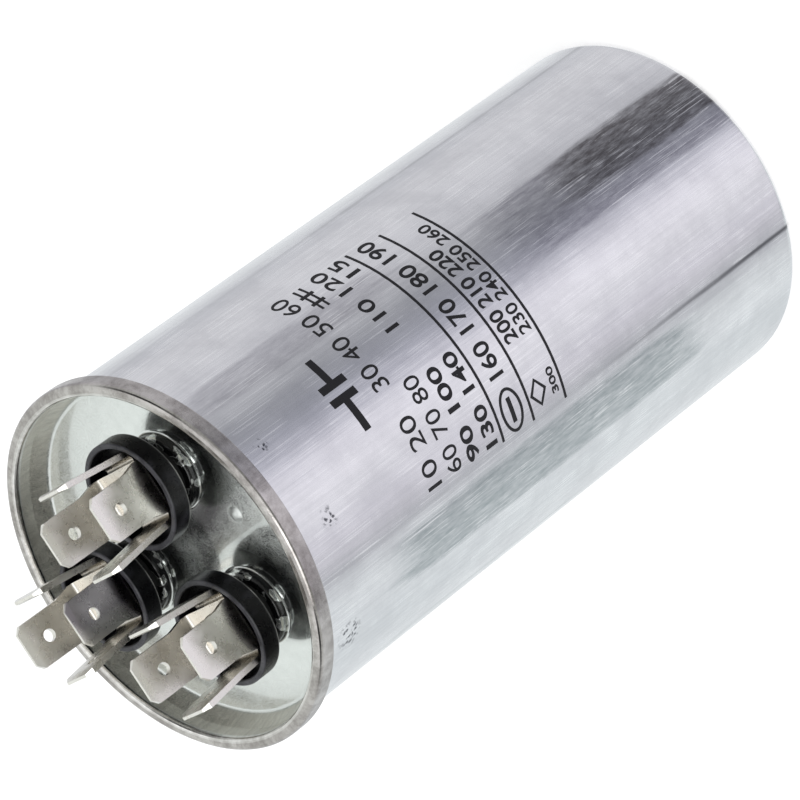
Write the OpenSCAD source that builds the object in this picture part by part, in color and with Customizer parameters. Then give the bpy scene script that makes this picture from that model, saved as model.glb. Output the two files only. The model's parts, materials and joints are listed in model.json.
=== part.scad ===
// Round two-section motor run capacitor: a seamed metal can with three four-tab terminals.
// Z runs up the can from its foot, the origin is the middle of the foot, and sizes are in mm.

/* [Can] */
// Outer diameter of the drawn can
can_d = 50; // [46:0.5:60]
// Height from the foot to the top of the seam
can_h = 100.8; // [96:0.2:130]
// Sheet thickness of the can wall
can_wall = 0.4; // [0.3:0.05:0.6]
// Thickness of the closed bottom
can_floor = 0.5; // [0.4:0.05:0.8]
// Outside radius round the foot
foot_round = 1.2; // [0.9:0.1:2]

/* [Lid and seam] */
// Sheet thickness of the lid
lid_t = 0.3; // [0.2:0.02:0.35]
// Depth of the flat panel below the top of the seam
panel_depth = 5.3; // [4.5:0.1:6]
// How far the recess wall leans in from the seam to the panel
recess_taper = 0.7; // [0.3:0.1:1.5]
// Inside radius of the corner round the panel
panel_round = 0.6; // [0.4:0.1:1]
// Height of the rolled seam
seam_h = 2.6; // [2.2:0.1:3.2]
// Radius rolled on the top edges of the seam
seam_round = 0.7; // [0.35:0.05:0.9]
// Gap left between the layers of the seam
seam_gap = 0.05; // [0.03:0.01:0.08]
// How far the seaming rolls draw the can's wall in, at the top of the hook
seam_press = 0.1; // [0.05:0.01:0.15]
// Diameter of the collar pressed up round each terminal
collar_d = 10.6; // [9:0.1:11]
// Height of the collar above the panel
collar_h = 1.4; // [1:0.1:2.4]
// Radius on the top edge of the collar
collar_round = 0.5; // [0.4:0.05:0.8]
// Radius round the root of the collar
collar_root = 0.4; // [0.2:0.05:0.6]
// Distance from the edge of the panel to the pressed dimple
dimple_inset = 10.8; // [8:0.1:12]
// Width of the pressed dimple
dimple_d = 2.2; // [1.6:0.1:3]
// Height of the pressed dimple
dimple_h = 0.35; // [0.2:0.05:0.5]

/* [Terminals] */
// Distance from the edge of the panel to the axis of each terminal
terminal_inset = 12.05; // [11:0.05:13]
// Direction of the first terminal; the others follow at a third of a turn
terminal_az = -36; // [-60:1:60]
// Turn of each set of tabs about its own terminal
tab_turn = -6; // [-20:1:20]
// Width of a tab
tab_w = 6.3; // [4.8:0.1:7]
// Thickness of a tab
tab_t = 0.8; // [0.5:0.1:1]
// Height of the tab tips above the top of the seam
tab_reach = 11.5; // [10:0.5:14]
// Distance from the terminal's axis to the middle of a tab at its tip
tab_spread = 6; // [5.6:0.1:7]
// Lean of each tab away from the terminal's axis, in degrees
tab_splay = 5.7; // [2:0.1:8]
// Extra width on each side at the shoulders
shoulder_step = 0.55; // [0.3:0.05:0.8]
// Height of the top of the shoulders above the seam
shoulder_z = 4.2; // [3.5:0.1:5]
// Distance from the tip of a tab to its hole
hole_drop = 3.7; // [3:0.1:4.5]
// Diameter of the hole in a tab
hole_d = 1.7; // [1.4:0.1:2]
// Chamfer on the corners of a tab's tip
tip_chamfer = 0.9; // [0.5:0.1:1.5]
// Inside radius of the bend at a tab's root
root_bend = 0.6; // [0.4:0.1:0.9]

/* [Bushings] */
// Height of the neck from the gasket to the underside of the cup
neck_h = 2; // [1:0.1:3]
// Diameter of the neck
neck_d = 8; // [7:0.1:9.5]
// Height of the cup
cup_h = 3; // [2.6:0.1:4]
// Thickness of the cup's floor
cup_floor = 0.8; // [0.6:0.1:1]
// Thickness of the cup's lip
lip_t = 0.8; // [0.6:0.1:1.2]
// Radius on the lower edge of the cup
cup_round = 0.5; // [0.3:0.1:0.7]
// Diameter of the spigot that passes through the lid
spigot_d = 5.2; // [4.6:0.1:5.8]
// Diameter of the rivet's shank
rivet_d = 3; // [2.5:0.1:3.4]
// Width of the rivet's head
rivet_head_d = 5.2; // [4.6:0.1:6]
// Height of the rivet's head
rivet_head_h = 0.8; // [0.5:0.1:1.2]
// Height of the rolled-over tail of the rivet
rivet_tail_h = 0.8; // [0.5:0.1:1.2]
// Thickness of the washer under the lid
washer_t = 0.6; // [0.4:0.1:1]
// Width of the washer under the lid
washer_d = 7; // [6:0.2:9]
// Thickness of the squeezed rubber gasket
gasket_t = 0.6; // [0.4:0.1:1]
// How far the gasket stands out past the neck
gasket_lip = 0.3; // [0.2:0.1:0.6]
// Thickness of the insulator under the lid
insulator_t = 1.5; // [1:0.1:2]
// Diameter of the insulator under the lid
insulator_d = 12; // [10:0.5:15]

/* [Wound sections] */
// Height of the space between the sprayed ends and the lid
head_space = 18.1; // [14:0.1:24]
// Radius of the hole up the core
core_bore_r = 3.5; // [2.5:0.1:4.5]
// Wall of the core tube
core_wall = 1; // [0.6:0.1:1.5]
// Radial build of the small fan section
fan_build = 3; // [2:0.1:6]
// Thickness of the wrap between the two sections
section_wrap_t = 0.5; // [0.3:0.1:1]
// Thickness of the wrap round both sections
outer_wrap_t = 0.4; // [0.2:0.1:1]
// Thickness of the sprayed metal on each end
spray_t = 0.8; // [0.4:0.1:1.2]
// Width of the bare ring between the two top sprays
spray_split = 0.3; // [0.2:0.05:0.5]

/* [Insulation and leads] */
// Wall of the plastic cup under the sections
cup_wall = 0.8; // [0.5:0.1:1.2]
// Thickness of that cup's floor
under_cup_floor = 1; // [0.6:0.1:1.5]
// Height of that cup
under_cup_h = 8; // [5:0.5:20]
// Gap from the can's wall to the plastic inside it
side_gap = 0.3; // [0.2:0.05:0.5]
// Gap from the cup's wall to the wrapped sections
wrap_gap = 0.1; // [0.05:0.05:0.3]
// Thickness of the spacer's disc
spacer_disc_t = 1.2; // [0.8:0.1:2]
// Wall of the spacer's ring
spacer_wall = 1; // [0.8:0.1:1.5]
// How far the spacer's ring stands in from the edge of its disc
spacer_step = 1.1; // [0.8:0.1:2]
// Diameter of a lead
lead_d = 1.2; // [0.8:0.1:1.6]
// Wall of a lead's sleeve
sleeve_wall = 0.5; // [0.3:0.1:0.7]
// Gap between a lead and its sleeve
sleeve_gap = 0.2; // [0.1:0.05:0.3]

/* [Hidden] */
$fn = 96;

// The three terminals in order
TERMINALS = ["common", "run", "fan"];

// Running clearance of a part in its hole
fit_gap = 0.1;

// Can and seam, layer by layer outwards from the recess wall
can_r = can_d / 2;
bore_r = can_r - can_wall;
chuck_r = bore_r - lid_t;
hook_r = can_r + seam_gap;
pressed_r = can_r - seam_press;
fold_r = hook_r + lid_t + seam_gap;
skirt_r = fold_r + can_wall + seam_gap;
seam_r = skirt_r + lid_t;
seam_inner = max(seam_round - lid_t, 0.05);
seam_foot_z = can_h - seam_h;
fold_top_z = can_h - lid_t - seam_gap;
fold_end_z = seam_foot_z + lid_t + seam_gap;
fold_under_z = fold_top_z - can_wall;
sealant_t = 0.4;
hook_top_z = fold_under_z - sealant_t;

// Lid panel
panel_z = can_h - panel_depth;
under_lid_z = panel_z - lid_t;
panel_r = chuck_r - recess_taper;
dimple_az = -90;
dimple_pitch_r = panel_r - dimple_inset;
terminal_pitch_r = panel_r - terminal_inset;
collar_r = collar_d / 2;
collar_z = panel_z + collar_h;
collar_under_z = collar_z - lid_t;
hollow_r = collar_r - lid_t;
hollow_round = max(collar_round - lid_t, fit_gap);
plug_r = hollow_r - hollow_round;

// Stack of one terminal, from the collar up
gasket_top_z = collar_z + gasket_t;
cup_z = gasket_top_z + neck_h;
cup_floor_z = cup_z + cup_floor;
lip_z = cup_z + cup_h;
upper_base_z = cup_floor_z + tab_t;
rivet_head_z = upper_base_z + tab_t;
tip_z = can_h + tab_reach;

// Stack of one terminal, from the lid down
insulator_z = under_lid_z - insulator_t;
washer_z = insulator_z - washer_t;
rivet_tail_z = washer_z - rivet_tail_h;
spigot_clear = 0.4;
spigot_end_z = insulator_z + spigot_clear;

// Tabs and the cup that clears them
shoulder_w = tab_w + 2 * shoulder_step;
shoulder_slope = 2.2;
shoulder_side = 1.6;
waist_slope = 0.7;
waist_step = 0.05;
tip_bevel_h = 1;
tab_lean = tan(tab_splay);
tab_r_at_lip = tab_spread - tab_lean * (tip_z - lip_z);
cup_bore_r = norm([tab_r_at_lip + tab_t / 2, shoulder_w / 2]) + 1.5 * fit_gap;
cup_r = cup_bore_r + lip_t;
rivet_r = rivet_d / 2;
spigot_r = spigot_d / 2;
neck_r = neck_d / 2;
rivet_tail_roll = 0.9;
rivet_tail_r = rivet_r + rivet_tail_roll;

// Wound sections, from the middle out and from the bottom up
under_cup_r = bore_r - side_gap;
wrap_r = under_cup_r - cup_wall - wrap_gap;
run_r = wrap_r - outer_wrap_t;
core_r = core_bore_r + core_wall;
fan_r = core_r + fan_build;
run_bore_r = fan_r + section_wrap_t;
spray_z = can_floor + under_cup_floor;
winding_z = spray_z + spray_t;
spacer_z = under_lid_z - head_space;
top_spray_z = spacer_z - spray_t;
winding_h = top_spray_z - winding_z;
spacer_disc_top_z = spacer_z + spacer_disc_t;
spacer_ring_r = under_cup_r - spacer_step;

// Leads
lead_r = lead_d / 2;
bend_swell = 1.2;
sleeve_bore_r = lead_r + sleeve_gap;
sleeve_r = sleeve_bore_r + sleeve_wall;
lead_hole_r = sleeve_r + fit_gap;
lead_bend_z = rivet_tail_z - 2 * lead_d;
lead_drop_z = (spacer_disc_top_z + lead_bend_z) / 2;
lead_end_r = [0, (run_bore_r + run_r) / 2, (core_r + fan_r) / 2];
lead_end_z = [winding_z, spacer_z, spacer_z];
sleeve_foot_z = [spacer_z - winding_h / 4, spacer_z + 3 * fit_gap, spacer_z + 3 * fit_gap];

// Points along an arc about [x, y] from angle a to angle b
function arc(x, y, r, a, b, steps = 6) =
    [for (i = [0 : steps]) let (t = a + (b - a) * i / steps) [x + r * cos(t), y + r * sin(t)]];

// Closed outline from its right half, whose ends lie on the Y axis
function both_sides(half) =
    concat(half, [for (i = [len(half) - 2 : -1 : 1]) [-half[i].x, half[i].y]]);

// Direction of terminal i from the can's axis
function az(i) = terminal_az + 120 * i;

// Point at radius r on the side of terminal i, at height z
function beside(i, r, z) = [r * cos(az(i)), r * sin(az(i)), z];

// Flat ring between two radii, from z up by h
module ring(inner, outer, z, h) {
    translate([0, 0, z])
        difference() {
            cylinder(r = outer, h = h);
            translate([0, 0, -1])
                cylinder(r = inner, h = h + 2);
        }
}

// Moves its children to the axis of terminal i
module at_terminal(i) {
    translate(beside(i, terminal_pitch_r, 0))
        children();
}

// Round wire through a list of points, with a slightly fatter ball at each bend
module wire(points, r) {
    last = len(points) - 1;
    for (i = [0 : last - 1]) {
        step = points[i + 1] - points[i];
        translate(points[i])
            rotate([0, acos(step.z / norm(step)), atan2(step.y, step.x)])
                cylinder(r = r, h = norm(step));
    }
    for (i = [1 : last - 1])
        translate(points[i])
            sphere(r = bend_swell * r);
}

// Drawn can: closed foot, straight wall and the hook folded out into the seam
module can() {
    foot = foot_round;
    inner = max(foot - can_wall, 0.2);
    fold = max(seam_inner - seam_gap, 0.02);
    arch_z = can_h - lid_t - seam_inner;
    color("gainsboro")
        rotate_extrude()
            polygon(concat(
                [[0, 0]],
                arc(can_r - foot, foot, foot, -90, 0),
                [[can_r, seam_foot_z], [pressed_r, fold_under_z]],
                [[fold_r, fold_under_z], [fold_r, fold_end_z]],
                [[fold_r + can_wall, fold_end_z]],
                arc(skirt_r - seam_inner, arch_z, fold, 0, 90, 3),
                arc(bore_r + seam_inner, arch_z, fold, 90, 180, 3),
                [[bore_r, arch_z - 2 * seam_gap]],
                arc(bore_r - inner, can_floor + inner, inner, 0, -90),
                [[0, can_floor]]
            ));
}

// Lid: flat panel, leaning recess wall, rolled top and the hook tucked under the can's
module lid_shell() {
    outer = seam_round;
    under = panel_round + lid_t;
    arch_z = can_h - lid_t - seam_inner;
    rotate_extrude()
        polygon(concat(
            [[0, panel_z]],
            arc(panel_r - panel_round, panel_z + panel_round, panel_round, -90, -10),
            [[chuck_r, seam_foot_z]],
            arc(chuck_r + outer, can_h - outer, outer, 180, 90, 5),
            arc(seam_r - outer, can_h - outer, outer, 90, 0, 5),
            arc(seam_r - lid_t, seam_foot_z + lid_t, lid_t, 0, -90, 4),
            [[hook_r, seam_foot_z], [hook_r, hook_top_z], [hook_r + lid_t, hook_top_z]],
            [[hook_r + lid_t, seam_foot_z + lid_t], [skirt_r, seam_foot_z + lid_t]],
            arc(skirt_r - seam_inner, arch_z, seam_inner, 0, 90, 3),
            arc(bore_r + seam_inner, arch_z, seam_inner, 90, 180, 3),
            [[bore_r, seam_foot_z]],
            arc(panel_r + lid_t - under, under_lid_z + under, under, -10, -90),
            [[0, under_lid_z]]
        ));
}

// Low domed boss pressed up in the panel between two terminals
module dimple() {
    ball_r = (pow(dimple_d / 2, 2) + pow(dimple_h, 2)) / (2 * dimple_h);
    translate([dimple_pitch_r * cos(dimple_az), dimple_pitch_r * sin(dimple_az), 0])
        intersection() {
            translate([0, 0, panel_z + dimple_h - ball_r])
                sphere(r = ball_r);
            translate([0, 0, panel_z - lid_t / 2])
                cylinder(d = dimple_d + 1, h = lid_t / 2 + dimple_h + 1);
        }
}

// Outside of the collar pressed up round a terminal
module collar() {
    rotate_extrude()
        polygon(concat(
            [[0, panel_z - lid_t / 2], [collar_r + collar_root, panel_z - lid_t / 2]],
            arc(collar_r + collar_root, panel_z + collar_root, collar_root, -90, -180, 4),
            arc(collar_r - collar_round, collar_z - collar_round, collar_round, 0, 90, 5),
            [[0, collar_z]]
        ));
}

// Hollow left under that collar by the sheet, with the spigot's hole through its top
module collar_hollow() {
    rotate_extrude()
        polygon(concat(
            [[0, under_lid_z - 1], [hollow_r, under_lid_z - 1]],
            arc(hollow_r - hollow_round, collar_under_z - hollow_round, hollow_round, 0, 90, 3),
            [[spigot_r + fit_gap, collar_under_z], [spigot_r + fit_gap, collar_z + 1], [0, collar_z + 1]]
        ));
}

module lid() {
    color("silver")
        difference() {
            union() {
                lid_shell();
                dimple();
                for (i = [0 : 2])
                    at_terminal(i)
                        collar();
            }
            for (i = [0 : 2])
                at_terminal(i)
                    collar_hollow();
        }
}

// Sealing compound in the top of the seam, over the lid's hook
module seam_sealant() {
    color("dimgray")
        ring(can_r, fold_r, hook_top_z, sealant_t);
}

// Moulded bushing: spigot through the lid, neck above it and an open cup on top
module bushing(i) {
    bore = rivet_r + fit_gap;
    edge = 0.15;
    color("black")
        at_terminal(i)
            rotate_extrude()
                polygon(concat(
                    [[bore, spigot_end_z], [spigot_r, spigot_end_z]],
                    [[spigot_r, gasket_top_z], [neck_r, gasket_top_z], [neck_r, cup_z]],
                    arc(cup_r - cup_round, cup_z + cup_round, cup_round, -90, 0),
                    [[cup_r, lip_z - edge], [cup_r - edge, lip_z]],
                    [[cup_bore_r + edge, lip_z], [cup_bore_r, lip_z - edge]],
                    [[cup_bore_r, cup_floor_z], [bore, cup_floor_z]]
                ));
}

// Rubber gasket squeezed between the neck and the top of the collar
module gasket(i) {
    color("darkslategray")
        at_terminal(i)
            ring(spigot_r + fit_gap, neck_r + gasket_lip, collar_z, gasket_t);
}

// Insulating disc against the underside of the lid, with a plug that fills the collar
module inner_insulator(i) {
    color("ivory")
        at_terminal(i)
            rotate_extrude()
                polygon([
                    [rivet_r + fit_gap, insulator_z], [insulator_d / 2, insulator_z],
                    [insulator_d / 2, under_lid_z], [plug_r, under_lid_z],
                    [plug_r, collar_under_z], [spigot_r + fit_gap, collar_under_z],
                    [spigot_r + fit_gap, spigot_end_z], [rivet_r + fit_gap, spigot_end_z]
                ]);
}

// Side view of a pair of tabs and the base that joins them, with its left tab mirrored
function tab_half(base_z) =
    let (
        foot_r = tab_spread - tab_lean * (tip_z - base_z),
        outer = root_bend + tab_t,
        bevel = tab_t / 4,
        lean = tab_lean * tip_bevel_h,
        skin = tab_t / 2 / cos(tab_splay),
        bend_r = foot_r + skin + tab_lean * outer * (1 - sin(tab_splay)) - outer * cos(tab_splay)
    )
    concat(
        [[0, base_z]],
        arc(bend_r, base_z + outer, outer, -90, -tab_splay),
        [[tab_spread + skin - lean, tip_z - tip_bevel_h], [tab_spread + skin - bevel, tip_z]],
        [[tab_spread - skin + bevel, tip_z], [tab_spread - skin - lean, tip_z - tip_bevel_h]],
        arc(bend_r, base_z + outer, root_bend, -tab_splay, -90),
        [[0, base_z + tab_t]]
    );

// Front view of a tab: chamfered tip, straight blade, shoulders and the waist at its root
function blade_half() =
    let (
        half = tab_w / 2,
        wide = shoulder_w / 2,
        waist = half - waist_step,
        wide_z = can_h + shoulder_z - shoulder_slope,
        waist_z = wide_z - shoulder_side
    )
    [
        [0, tip_z], [half - tip_chamfer, tip_z], [half, tip_z - tip_chamfer],
        [half, can_h + shoulder_z], [wide, wide_z],
        [wide, waist_z + waist_slope], [waist, waist_z],
        [waist, cup_floor_z - 1], [0, cup_floor_z - 1]
    ];

// Pressed pair of tabs, standing on base_z and turned by turn about the terminal
module tab_pair(base_z, turn) {
    rotate([0, 0, tab_turn + turn])
        difference() {
            intersection() {
                rotate([90, 0, 0])
                    linear_extrude(shoulder_w + 2, center = true)
                        polygon(both_sides(tab_half(base_z)));
                rotate([90, 0, 90])
                    linear_extrude(4 * tab_spread, center = true)
                        polygon(both_sides(blade_half()));
            }
            translate([0, 0, tip_z - hole_drop])
                rotate([0, 90, 0])
                    cylinder(d = hole_d, h = 4 * tab_spread, center = true);
            translate([0, 0, base_z - 1])
                cylinder(r = rivet_r + fit_gap, h = tab_t + 2);
        }
}

module lower_tabs(i) {
    color("silver")
        at_terminal(i)
            tab_pair(cup_floor_z, 0);
}

module upper_tabs(i) {
    color("lightgray")
        at_terminal(i)
            tab_pair(upper_base_z, 90);
}

// Rivet that clamps both pairs of tabs, the bushing, the lid and the insulator
module rivet() {
    head_r = rivet_head_d / 2;
    crown = rivet_head_h / 2;
    rotate_extrude()
        polygon(concat(
            [[0, rivet_tail_z], [rivet_tail_r - crown, rivet_tail_z]],
            [[rivet_tail_r, rivet_tail_z + rivet_tail_h / 2], [rivet_tail_r, washer_z]],
            [[rivet_r, washer_z], [rivet_r, rivet_head_z], [head_r, rivet_head_z]],
            arc(head_r - crown, rivet_head_z + crown, crown, 0, 90, 4),
            [[0, rivet_head_z + rivet_head_h]]
        ));
}

module terminal_rivets() {
    color("gray")
        for (i = [0 : 2])
            at_terminal(i)
                rivet();
}

module rivet_washers() {
    color("darkgray")
        for (i = [0 : 2])
            at_terminal(i)
                ring(rivet_r + fit_gap, washer_d / 2, washer_z, washer_t);
}

// Lead of terminal i: down from the rivet, across, and down to its own spray
module lead(i) {
    color("peru")
        wire([
            beside(i, terminal_pitch_r, rivet_tail_z),
            beside(i, terminal_pitch_r, lead_bend_z),
            beside(i, lead_end_r[i], lead_drop_z),
            beside(i, lead_end_r[i], lead_end_z[i])
        ], lead_r);
}

// Insulating sleeves over the lower, upright part of each lead
module lead_sleeves() {
    color("khaki")
        for (i = [0 : 2])
            translate(beside(i, lead_end_r[i], 0))
                ring(sleeve_bore_r, sleeve_r, sleeve_foot_z[i], lead_drop_z - lead_d - sleeve_foot_z[i]);
}

module core_tube() {
    color("tan")
        ring(core_bore_r, core_r, winding_z, winding_h + spray_t);
}

module fan_winding() {
    color("whitesmoke")
        ring(core_r, fan_r, winding_z, winding_h);
}

module section_wrap() {
    color("wheat")
        ring(fan_r, run_bore_r, winding_z, winding_h);
}

module run_winding() {
    color("whitesmoke")
        ring(run_bore_r, run_r, winding_z, winding_h);
}

module outer_wrap() {
    color("wheat")
        ring(run_r, wrap_r, spray_z, spacer_z - spray_z);
}

// Metal sprayed on the lower end of both sections, which joins them to the common lead
module common_spray() {
    color("slategray")
        translate([0, 0, spray_z])
            cylinder(r = run_r, h = spray_t);
}

module fan_spray() {
    color("slategray")
        ring(core_r, fan_r, top_spray_z, spray_t);
}

module run_spray() {
    color("slategray")
        ring(run_bore_r + spray_split, run_r, top_spray_z, spray_t);
}

// Plastic cup that keeps the sections off the can's foot
module bottom_cup() {
    corner = max(foot_round - can_wall, 0.2) + side_gap;
    color("white")
        difference() {
            translate([0, 0, can_floor])
                rotate_extrude()
                    polygon([
                        [0, 0], [under_cup_r - corner, 0], [under_cup_r, corner],
                        [under_cup_r, under_cup_h], [0, under_cup_h]
                    ]);
            translate([0, 0, spray_z])
                cylinder(r = under_cup_r - cup_wall, h = under_cup_h);
        }
}

// Plastic spacer that holds the sections down: a disc with a ring up to the lid
module top_spacer() {
    color("white")
        difference() {
            union() {
                translate([0, 0, spacer_z])
                    cylinder(r = under_cup_r, h = spacer_disc_t);
                ring(spacer_ring_r - spacer_wall, spacer_ring_r, spacer_z, under_lid_z - spacer_z);
            }
            for (i = [0 : 2])
                translate(beside(i, lead_end_r[i], spacer_z - 1))
                    cylinder(r = lead_hole_r, h = spacer_disc_t + 2);
        }
}

can();
lid();
seam_sealant();
for (i = [0 : 2]) {
    bushing(i);
    gasket(i);
    inner_insulator(i);
    lower_tabs(i);
    upper_tabs(i);
    lead(i);
}
terminal_rivets();
rivet_washers();
lead_sleeves();
core_tube();
fan_winding();
section_wrap();
run_winding();
outer_wrap();
common_spray();
fan_spray();
run_spray();
bottom_cup();
top_spacer();
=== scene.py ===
"""Looks of a round motor run capacitor: finishes, printed legend, wear and the studio round it."""

import json
import math

import bmesh
import bpy
from mathutils import Matrix, Vector


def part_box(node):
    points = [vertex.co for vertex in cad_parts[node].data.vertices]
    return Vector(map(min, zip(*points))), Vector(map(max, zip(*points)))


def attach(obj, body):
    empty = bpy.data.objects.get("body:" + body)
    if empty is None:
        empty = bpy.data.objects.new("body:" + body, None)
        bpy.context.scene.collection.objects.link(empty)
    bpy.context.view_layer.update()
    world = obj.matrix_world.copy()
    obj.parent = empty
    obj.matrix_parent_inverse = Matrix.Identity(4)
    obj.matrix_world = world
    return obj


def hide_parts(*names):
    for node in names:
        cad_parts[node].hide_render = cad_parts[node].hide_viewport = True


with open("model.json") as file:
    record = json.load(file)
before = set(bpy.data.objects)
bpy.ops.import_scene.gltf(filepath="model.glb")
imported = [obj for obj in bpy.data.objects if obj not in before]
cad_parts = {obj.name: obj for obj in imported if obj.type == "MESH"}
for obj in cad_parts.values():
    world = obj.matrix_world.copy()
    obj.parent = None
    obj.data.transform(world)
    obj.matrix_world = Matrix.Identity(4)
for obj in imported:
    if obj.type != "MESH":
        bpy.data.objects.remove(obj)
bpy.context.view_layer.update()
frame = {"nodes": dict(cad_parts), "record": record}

RECORD = frame["record"]
MOUNTS = {mount["name"]: mount for mount in RECORD["mounts"]}
TERMINALS = ("common", "run", "fan")

# Sizes that the finishes are placed by, in metres
MM = 0.001
CAN_R = MOUNTS["strap_band"]["dims"]["r_mm"] * MM
LID_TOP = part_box("lid")[1].z
LID_SHEET = 0.3 * MM
PANEL_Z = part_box("top_spacer")[1].z + LID_SHEET
RIM_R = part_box("lid")[1].x
# Above this height the lid's wall rounds over into the rim
ROLL_Z = LID_TOP - 0.8 * MM
# The collars and the dimple lie inside this radius, and the lid's wall outside it
WALL_R = 0.86 * CAN_R
DIMPLE = (0.0, -12.8 * MM, 0.0)
# Top of a bushing's lip, and the lower edge of its cup
LIP_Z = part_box("bushing_run")[1].z
CUP_Z = LIP_Z - 3 * MM
# The tabs of a pair spread outwards by this much for each unit of height
TAB_LEAN = math.tan(math.radians(5.7))
# Added to the outer limit of a zone, to keep it clear of the metal
CLEAR = 5 * MM

# Sockets by number, where a node gives several of them the same name
VALUE, FROM_A, FROM_B, TO_A, TO_B = range(5)    # Map Range: FROM_A becomes TO_A, and FROM_B becomes TO_B
SHARE, UNDER, OVER = 0, 6, 7                    # Mix of colours: UNDER at share 0, and OVER at share 1


# ---------------------------------------------------------------- small helpers

def linear(hex_colour):
    """An sRGB hex colour as linear RGBA."""
    channels = [int(hex_colour[i:i + 2], 16) / 255 for i in (1, 3, 5)]
    curve = [c / 12.92 if c <= 0.04045 else ((c + 0.055) / 1.055) ** 2.4 for c in channels]
    return (*curve, 1.0)


def add(tree, kind, inputs=None, stops=None, **settings):
    """Adds a node to a tree with its settings, its socket values or links, and its colour stops."""
    node = tree.nodes.new(kind)
    for name, value in settings.items():
        setattr(node, name, value)
    for key, value in (inputs or {}).items():
        if isinstance(value, bpy.types.Node):
            value = next(socket for socket in value.outputs if socket.enabled)
        if isinstance(value, bpy.types.NodeSocket):
            tree.links.new(value, node.inputs[key])
        else:
            node.inputs[key].default_value = linear(value) if isinstance(value, str) else value
    if stops:
        elements = node.color_ramp.elements
        while len(elements) < len(stops):
            elements.new(0.5)
        for element, (position, colour) in zip(elements, stops):
            element.position = position
            element.color = linear(colour)
    return node


def new_material(name, **surface):
    """A material with one Principled shader; surface holds the values that are the same all over."""
    material = bpy.data.materials.new(name)
    material.use_nodes = True
    tree = material.node_tree
    shader = tree.nodes["Principled BSDF"]
    for key, value in surface.items():
        shader.inputs[key.replace("_", " ")].default_value = value
    place = add(tree, "ShaderNodeTexCoord").outputs["Object"]
    return material, tree, shader, place


def join(tree, node, shader, name):
    """Links what a node gives to one socket of the shader."""
    tree.links.new(next(socket for socket in node.outputs if socket.enabled), shader.inputs[name])


def between(tree, value, low, high, soft):
    """A mask that is 1 where value lies between low and high, and fades over soft each side of both."""
    rise, fall = (
        add(tree, "ShaderNodeMapRange", {VALUE: value, FROM_A: edge - soft, FROM_B: edge + soft},
            interpolation_type="SMOOTHSTEP")
        for edge in (low, high))
    return add(tree, "ShaderNodeMath", {0: rise, 1: fall}, operation="SUBTRACT")


def finish_nodes(slot, material):
    """Gives every CAD node of one material slot its finish."""
    for part in RECORD["subparts"]:
        if part["material_slot"] == slot:
            frame["nodes"][part["node"]].material_slots[0].material = material


def make_piece(name, mesh, stands_for=()):
    """Puts a finished mesh in the scene as a piece of the capacitor."""
    piece = bpy.data.objects.new(name, mesh)
    bpy.context.scene.collection.objects.link(piece)
    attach(piece, "root")
    if stands_for:
        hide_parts(*stands_for)
    return piece


# ---------------------------------------------------------------- can

def wear_and_reflection_patch(tree, spot, streaks, left, right, foot, top, fade):
    """A patch of the can, in mm, for wear and for painted reflection: solid inside and broken into upright
    streaks at its borders.
    """
    arc, height = spot
    across = between(tree, arc, left * MM, right * MM, 1.1 * MM)
    along = between(tree, height, foot * MM, top * MM, fade * MM)
    inside = add(tree, "ShaderNodeMath", {0: across, 1: along}, operation="MULTIPLY")
    broken = add(tree, "ShaderNodeMath", {0: inside, 1: streaks}, operation="ADD")
    return add(tree, "ShaderNodeMapRange", {VALUE: broken, FROM_A: 0.84, FROM_B: 1.34})


def speck_clusters(tree, unrolled, clouds):
    """Three clusters of dark specks below the seam."""
    smear = add(tree, "ShaderNodeVectorMath", {
        0: clouds.outputs["Color"], 1: (5 * MM, 5 * MM, 0.0), 2: unrolled}, operation="MULTIPLY_ADD")
    cells = add(tree, "ShaderNodeTexVoronoi", {
        "Vector": smear, "Scale": 1 / (0.62 * MM)}, voronoi_dimensions="2D")
    dots = add(tree, "ShaderNodeMapRange", {VALUE: cells.outputs["Distance"], FROM_A: 0.5, FROM_B: 0.2})
    # Each cluster's middle along the arc, its height and its reach, in mm
    near = None
    for middle, level, reach in ((-23.3, 94.0, 2.4), (-7.1, 92.6, 1.6), (4.8, 94.8, 1.2)):
        gap = add(tree, "ShaderNodeVectorMath", {
            0: unrolled, 1: (middle * MM, level * MM, 0.0)}, operation="DISTANCE").outputs["Value"]
        close = add(tree, "ShaderNodeMapRange", {VALUE: gap, FROM_A: reach * MM, FROM_B: 0.5 * reach * MM})
        near = close if near is None else add(
            tree, "ShaderNodeMath", {0: near, 1: close}, operation="MAXIMUM")
    # Only some cells hold a speck
    some = add(tree, "ShaderNodeMapRange", {VALUE: cells.outputs["Color"], FROM_A: 0.34, FROM_B: 0.5})
    specks = add(tree, "ShaderNodeMath", {0: dots, 1: near}, operation="MULTIPLY")
    return add(tree, "ShaderNodeMath", {0: specks, 1: some}, operation="MULTIPLY")


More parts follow.
